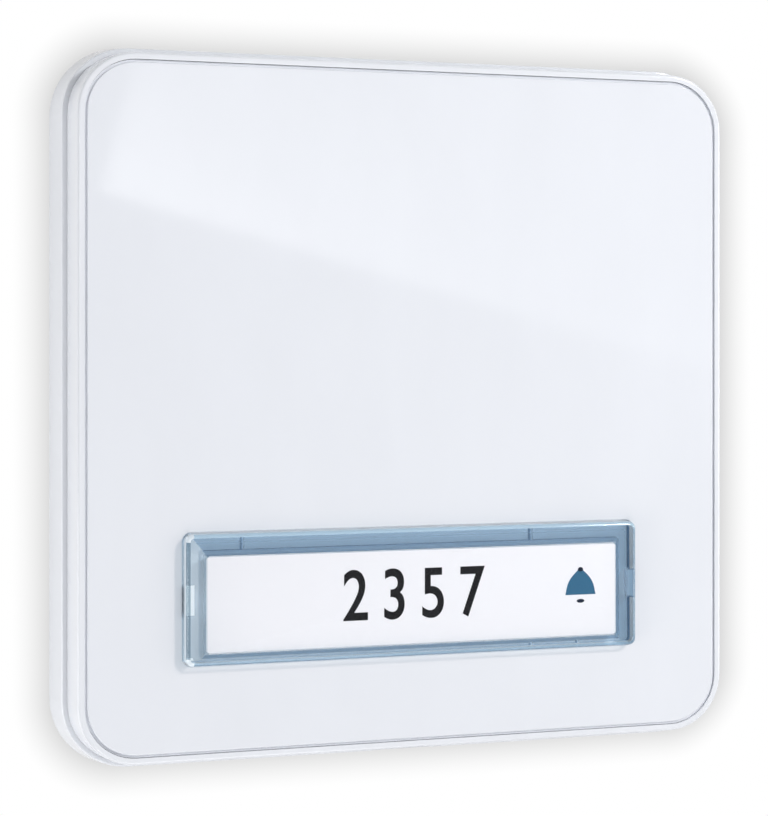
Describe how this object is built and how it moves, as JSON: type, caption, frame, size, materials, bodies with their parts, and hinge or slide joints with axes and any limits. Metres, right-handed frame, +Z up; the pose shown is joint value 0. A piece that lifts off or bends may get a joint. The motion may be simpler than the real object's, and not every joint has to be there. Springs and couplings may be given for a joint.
{
  "type": "doorbell push button",
  "caption": "Square wall mounted doorbell push with a stepped two-part casing, gloss face panel and a wide clear push cap over a lit name card.",
  "frame": {"origin": "on the wall plane, midway between the two wall screw slots", "axes": "+Y into the wall, -Y towards the person at the door, +Z up, +X to the right seen from the front"},
  "size_m": [0.088, 0.0111, 0.088],
  "materials": {
    "casing_white": "moulded, glossy white",
    "panel_white": "polished, glossy white",
    "clear_lens": "clear, faintly blue, polished",
    "card_white": "smooth white card",
    "card_print": "black print on the card",
    "bell_print": "blue print on the card",
    "diffuser_milk": "milky, satin",
    "carrier_white": "moulded, satin white",
    "retainer_grey": "moulded, satin grey",
    "screw_steel": "zinc plated",
    "spring_steel": "drawn wire",
    "switch_steel": "pressed sheet",
    "grommet_rubber": "matte grey",
    "board_green": "solder mask, satin",
    "switch_black": "moulded, matte",
    "plunger_red": "moulded, satin",
    "solder_tin": "tinned",
    "lamp_white": "moulded",
    "chip_black": "moulded, matte",
    "terminal_brass": "bright"
  },
  "bodies": {
    "housing": {"rear_housing": "casing_white", "cable_grommet": "grommet_rubber", "front_cover": "casing_white", "front_panel": "panel_white", "button_retainer": "retainer_grey", "retainer_screws": "screw_steel", "return_spring_left": "spring_steel", "return_spring_right": "spring_steel", "circuit_board": "board_green", "board_screws": "screw_steel", "switch_body": "switch_black", "switch_lid": "switch_steel", "contact_disc": "switch_steel", "switch_legs": "solder_tin", "backlight_lamps": "lamp_white", "bridge_rectifier": "chip_black", "rectifier_legs": "solder_tin", "series_resistors": "chip_black", "terminal_plates": "terminal_brass", "wire_clamps": "screw_steel", "terminal_screws": "terminal_brass"},
    "button": {"button_carrier": "carrier_white", "light_diffuser": "diffuser_milk", "name_card": "card_white", "button_lens": "clear_lens"},
    "plunger": {"switch_plunger": "plunger_red"}
  },
  "joints": [
    {"name": "button_press", "type": "slide", "parent": "housing", "child": "button", "axis": [0, 1, 0], "range_m": [0, 0.001], "stiffness_N_per_m": 1200, "springref_m": -0.0009, "deforming": ["return_spring_left", "return_spring_right"]},
    {"name": "switch_press", "type": "slide", "parent": "housing", "child": "plunger", "axis": [0, 1, 0], "range_m": [0, 0.001], "deforming": ["contact_disc"]}
  ],
  "couplings": [
    {"joint": "switch_press", "follows": "button_press", "ratio": 1}
  ]
}
